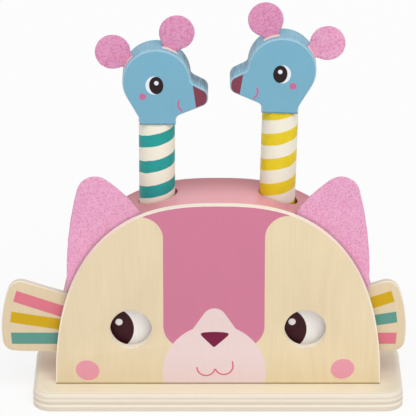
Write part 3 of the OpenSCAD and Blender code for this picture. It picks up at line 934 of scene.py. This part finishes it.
def rounded(node, name, body, material, radius, segments=2, wanted=None):
    """A finished piece that only differs from its CAD node by rounded edges."""
    piece = copy_of(node, name)
    round_edges(piece, radius, segments, wanted)
    return settle(piece, node, body, material)


def head_frame(side):
    """Middle of a mouse's neck, and the direction of its dowel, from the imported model."""
    joints = {joint["name"]: joint for joint in frame["joints"]}
    axis = Vector(joints[side + "_mouse_press"]["axis"])
    through = Vector(joints[side + "_mouse_turn"]["pos_m"])
    low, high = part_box(side + "_head_peg")
    neck = (low.z + high.z) / 2
    return through + axis * ((neck - through.z) / axis.z), axis


# ---------------------------------------------------------------- operators

class PieceOperator:
    """What the toy's operators share."""
    bl_options = {"REGISTER", "UNDO"}

    def execute(self, context):
        self.make(context.scene.pop_up_toy)
        return {"FINISHED"}


class TOY_OT_base_board(PieceOperator, bpy.types.Operator):
    """Models the base board with its rounded edges and spring seats"""
    bl_idname = "toy.base_board"
    bl_label = "Base board"

    def make(self, toy):
        board = copy_of("base_board", "base_board_wood")
        low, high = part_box("base_board")
        round_edges(board, toy.wood.base_round, 5,
                    lambda p: p.z > high.z - MERGE and self.near_outline(p, high))
        refill(board, high.z)
        round_edges(board, toy.wood.under_round, 3,
                    lambda p: p.z < low.z + MERGE and self.near_outline(p, high))
        settle(board, "base_board", "toy_body", base_finish(toy))

    @staticmethod
    def near_outline(p, high):
        """Tells the board's outline from the rims of its holes; arcs count with their chords."""
        corner, chord_room = 12 * MM, 0.3 * MM
        over = Vector((abs(p.x) - high.x + corner, abs(p.y) - high.y + corner))
        if over.x > 0 and over.y > 0:
            return over.length > corner - chord_room
        return over.x > corner - MERGE or over.y > corner - MERGE


class TOY_OT_face_panel(PieceOperator, bpy.types.Operator):
    """Models the printed face panel with its two eye holes"""
    bl_idname = "toy.face_panel"
    bl_label = "Face panel"

    def make(self, toy):
        low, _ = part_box("front_panel")
        rounded("front_panel", "face_panel", "toy_body", panel_finish(toy),
                toy.wood.panel_round, 2, lambda p: p.y < low.y + MERGE and p.z > low.z + MERGE)


class TOY_OT_cover(PieceOperator, bpy.types.Operator):
    """Models the bent cover and the panel that closes the back"""
    bl_idname = "toy.cover"
    bl_label = "Cover and back"

    def make(self, toy):
        low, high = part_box("arch_cover")
        rounded("arch_cover", "bent_cover", "toy_body", cover_finish(toy),
                toy.wood.cover_round, 2, lambda p: p.y > high.y - MERGE and p.z > low.z + MERGE)
        _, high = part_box("rear_panel")
        rounded("rear_panel", "back_panel", "toy_body", back_finish(toy),
                toy.wood.small_round, 2, lambda p: p.y > high.y - MERGE)


class TOY_OT_eye_slider(PieceOperator, bpy.types.Operator):
    """Models the board with the eyes and the two striped fins"""
    bl_idname = "toy.eye_slider"
    bl_label = "Eye slider"

    def make(self, toy):
        low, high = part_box("eye_slider")
        middle = (low.x + high.x) / 2
        kept = 12 * MM       # edges nearer to the middle than this stay as they are
        rounded("eye_slider", "eye_slider_board", "eye_slider", slider_finish(toy),
                toy.wood.fin_round, 3, lambda p: abs(p.x - middle) > kept)


COARSE_LUMPS, FINE_LUMPS = 260, 900      # of the felt's surface, a metre


def felt_piece(toy, node, name, body, material):
    """A felt shape with soft edges and a lumpy surface, from a node's outline."""
    felt = copy_of(node, name)
    round_edges(felt, toy.felt.edge_round)
    felt.data.remesh_voxel_size = toy.felt.grain
    felt.data.remesh_voxel_adaptivity = 0.0
    select_only(felt)
    bpy.ops.object.voxel_remesh()
    lumps = toy.felt.lumps
    normals = [v.normal.copy() for v in felt.data.vertices]
    for v, normal in zip(felt.data.vertices, normals):
        coarse = noise.noise(v.co * COARSE_LUMPS)
        fine = noise.noise(v.co * FINE_LUMPS + Vector((5, 1, 3)))
        v.co += normal * lumps * (0.7 * coarse + 0.8 * fine - 0.3)
    settle(felt, node, body, material, 180)
    return felt


class TOY_OT_cat_ears(PieceOperator, bpy.types.Operator):
    """Models the two felt ears of the cat"""
    bl_idname = "toy.cat_ears"
    bl_label = "Cat ears"

    def make(self, toy):
        material = felt_finish(toy, "pressed_felt", PLAIN_FELT, arch=True)
        for side in SIDES:
            felt_piece(toy, side + "_cat_ear", side + "_felt_cat_ear", "toy_body", material)


class TOY_OT_mouse_ears(PieceOperator, bpy.types.Operator):
    """Models the four felt ears of the mice"""
    bl_idname = "toy.mouse_ears"
    bl_label = "Mouse ears"

    def make(self, toy):
        deep = felt_finish(toy, "pressed_felt_deep", DEEP_FELT)
        light = felt_finish(toy, "pressed_felt_light", LIGHT_FELT)
        for side in SIDES:
            for which in ("top", "back"):
                material = light if (side, which) == ("right", "back") else deep
                felt_piece(toy, f"{side}_mouse_{which}_ear", f"{side}_felt_{which}_ear",
                           side + "_mouse", material)


NECK_ROOM = 0.5 * MM      # edges up to this far above a neck's lower end stay sharp


class TOY_OT_mouse_heads(PieceOperator, bpy.types.Operator):
    """Models the two painted heads"""
    bl_idname = "toy.mouse_heads"
    bl_label = "Mouse heads"

    def make(self, toy):
        for side in SIDES:
            low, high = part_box(side + "_mouse_head")
            neck, axis = head_frame(side)

            def outline(p):
                on_face = abs(abs(p.y - neck.y) - (high.y - low.y) / 2) < MERGE
                above_neck = (p - neck).dot(axis) > NECK_ROOM
                return on_face and above_neck

            rounded(side + "_mouse_head", side + "_painted_head", side + "_mouse",
                    head_finish(toy, side), toy.mice.head_round, 4, outline)


class TOY_OT_dowels(PieceOperator, bpy.types.Operator):
    """Models the two striped dowels"""
    bl_idname = "toy.dowels"
    bl_label = "Striped dowels"

    def make(self, toy):
        for side in SIDES:
            rounded(side + "_mouse_dowel", side + "_striped_dowel", side + "_mouse",
                    dowel_finish(toy, side), toy.wood.small_round)


SCREW_REACH = 10 * MM     # points nearer than this across a screw's axis are of one screw
FLAT = 0.1 * MM           # points this near to a screw's end lie on its head


class TOY_OT_inside(PieceOperator, bpy.types.Operator):
    """Models the rails, pegs, discs, screws and springs inside the body"""
    bl_idname = "toy.inside"
    bl_label = "Inside pieces"

    def make(self, toy):
        beech = beech_finish(toy)
        zinc = metal_finish("zinc_plate", toy.metal.zinc, 0.35)
        steel = metal_finish("spring_wire", toy.metal.steel, 0.28)
        for name in ("slider_upper_rail", "slider_lower_rail", "slider_stop_peg"):
            rounded(name, name + "_wood", "toy_body", beech, toy.wood.small_round)
        for side in SIDES:
            for name in ("_head_peg", "_retaining_disc"):
                rounded(side + name, side + name + "_wood", side + "_mouse", beech,
                        toy.wood.small_round)
            self.screws(toy, side + "_disc_screw", side + "_mouse", zinc, head_frame(side)[1])
            self.spring(toy, side, steel)
        self.screws(toy, "base_screws", "toy_body", zinc, Vector((0, 0, 1)))

    @staticmethod
    def screws(toy, node, body, material, axis):
        """Copies the screws of a node and cuts a cross into each head."""
        piece = copy_of(node, node + "_zinc")
        points_of = {}
        for v in piece.data.vertices:
            along = v.co.dot(axis)
            across = v.co - axis * along
            key = next((k for k in points_of if (Vector(k) - across).length < SCREW_REACH),
                       tuple(across))
            points_of.setdefault(key, []).append(v.co.copy())
        for points in points_of.values():
            level = min(p.dot(axis) for p in points)
            ring = [p for p in points if p.dot(axis) < level + FLAT]
            middle = sum(ring, Vector()) / len(ring)
            turned = axis.to_track_quat("Z", "Y").to_matrix().to_4x4()
            for turn in (0, math.pi / 2):
                select_only(piece)
                bpy.ops.mesh.primitive_cube_add(size=1)
                cutter = bpy.context.object
                size = (toy.metal.recess, toy.metal.recess_wall, toy.metal.recess_depth * 2, 1)
                cutter.matrix_world = (Matrix.Translation(middle) @ turned
                                       @ Matrix.Rotation(turn, 4, "Z") @ Matrix.Diagonal(size))
                select_only(piece)
                cross = piece.modifiers.new("cross", "BOOLEAN")
                cross.operation = "DIFFERENCE"
                cross.object = cutter
                bpy.ops.object.modifier_apply(modifier=cross.name)
                bpy.data.objects.remove(cutter)
        settle(piece, node, body, material, 30)

    @staticmethod
    def spring(toy, side, material):
        """Winds a compression spring with a closed turn at each end, in the CAD spring's room."""
        low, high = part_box(side + "_spring")
        wire = toy.metal.wire
        middle = (low + high) / 2
        radius = (high.x - low.x - wire) / 2
        turns, per_turn = toy.metal.turns, 28       # short straight bits make up a turn
        rise = high.z - low.z - wire
        open_turns = turns - 2            # one closed turn at each end
        points = []
        for n in range(turns * per_turn + 1):
            t = n / per_turn
            closed = min(t, 1) + max(t - turns + 1, 0)
            height = closed * wire + min(max(t - 1, 0), open_turns) * (rise - 2 * wire) / open_turns
            a = math.tau * t
            points.append((middle.x + radius * math.cos(a), middle.y + radius * math.sin(a),
                           low.z + wire / 2 + height, 1))
        curve = bpy.data.curves.new(side + "_spring_wire", "CURVE")
        curve.dimensions = "3D"
        curve.bevel_depth = wire / 2
        curve.bevel_resolution = 3
        curve.use_fill_caps = True
        line = curve.splines.new("POLY")
        line.points.add(len(points) - 1)
        for point, co in zip(line.points, points):
            point.co = co
        piece = bpy.data.objects.new(side + "_spring_wire", curve)
        bpy.context.scene.collection.objects.link(piece)
        select_only(piece)
        bpy.ops.object.convert(target="MESH")
        settle(piece, side + "_spring", None, material)
        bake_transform(piece)


FLOOR_SIDE = 12          # metres
SENSOR = 36              # width of the camera's sensor, in mm


class TOY_OT_stage(PieceOperator, bpy.types.Operator):
    """Adds the pale floor, the soft light and the camera"""
    bl_idname = "toy.stage"
    bl_label = "Floor, light and camera"

    def make(self, toy):
        look = toy.stage
        self.floor(look)
        self.light(look)
        self.camera(look)

    @staticmethod
    def floor(look):
        bpy.ops.object.select_all(action="DESELECT")
        bpy.ops.mesh.primitive_plane_add(size=FLOOR_SIDE, location=(0, 0, 0))
        floor = bpy.context.object
        floor.name = "studio_floor"
        f = Finish("pale_floor", {"Roughness": 1.0, "Specular IOR Level": 0.0})
        f.join(look.floor, f.shader.inputs["Base Color"])
        white = f.node("Emission", inputs={"Color": (1, 1, 1), "Strength": 1.0})
        lit = Value(f, f.shader.outputs[0])
        shown = f.node("MixShader", inputs={0: f.seen() * look.glow, 1: lit, 2: white})
        f.tree.links.new(shown.socket, f.tree.nodes["Material Output"].inputs[0])
        floor.data.materials.append(f.material)

    @staticmethod
    def light(look):
        lamps = (("soft_lamp", look.lamp, look.lamp_turn), ("fill_lamp", look.fill, look.fill_turn))
        for name, strength, turn in lamps:
            bpy.ops.object.light_add(type="SUN", rotation=(look.lamp_tilt, 0, turn))
            lamp = bpy.context.object
            lamp.name = name
            lamp.data.energy = strength
            lamp.data.angle = look.lamp_width
        world = bpy.data.worlds.new("studio")
        bpy.context.scene.world = world
        world.use_nodes = True
        w = Nodes(world.node_tree)
        sky = w.tree.nodes["Background"]
        sky.inputs["Strength"].default_value = look.sky
        sky.inputs["Color"].default_value = (1, 1, 1, 1)
        white = w.node("Background", inputs={"Color": (1, 1, 1), "Strength": 1})
        shown = w.node("MixShader", inputs={0: w.seen(), 1: Value(w, sky.outputs[0]), 2: white})
        w.tree.links.new(shown.socket, w.tree.nodes["World Output"].inputs[0])

    @staticmethod
    def camera(look):
        back = Vector((0, -math.cos(look.height), math.sin(look.height)))
        place = Vector(look.aim) + back * look.distance
        bpy.ops.object.camera_add(location=place, rotation=(math.pi / 2 - look.height, 0, 0))
        camera = bpy.context.object
        camera.name = "photo_camera"
        camera.data.lens = look.lens
        camera.data.sensor_width = SENSOR
        camera.data.clip_end = 30
        bpy.context.scene.camera = camera
        bpy.context.scene.view_settings.view_transform = "Standard"


# ---------------------------------------------------------------- panel and registration

STEPS = (TOY_OT_stage, TOY_OT_base_board, TOY_OT_face_panel, TOY_OT_cover, TOY_OT_eye_slider,
         TOY_OT_cat_ears, TOY_OT_dowels, TOY_OT_mouse_heads, TOY_OT_mouse_ears, TOY_OT_inside)


class TOY_PT_steps(bpy.types.Panel):
    """Lists the toy's pieces in the order in which they are made"""
    bl_idname = "TOY_PT_steps"
    bl_label = "Pop-up toy"
    bl_space_type = "VIEW_3D"
    bl_region_type = "UI"
    bl_category = "Pop-up toy"

    def draw(self, context):
        for step in STEPS:
            self.layout.operator(step.bl_idname)


GROUPS = (ToyWood, ToyFace, ToyEyes, ToyMice, ToyFelt, ToyMetal, ToyStage, ToySettings)
CLASSES = (*GROUPS, *STEPS, TOY_PT_steps)


def register():
    for cls in CLASSES:
        bpy.utils.register_class(cls)
    bpy.types.Scene.pop_up_toy = PointerProperty(type=ToySettings)


def unregister():
    del bpy.types.Scene.pop_up_toy
    for cls in reversed(CLASSES):
        bpy.utils.unregister_class(cls)


def main():
    register()
    for step in STEPS:
        group, name = step.bl_idname.split(".")
        getattr(getattr(bpy.ops, group), name)()


if __name__ == "__main__":
    main()
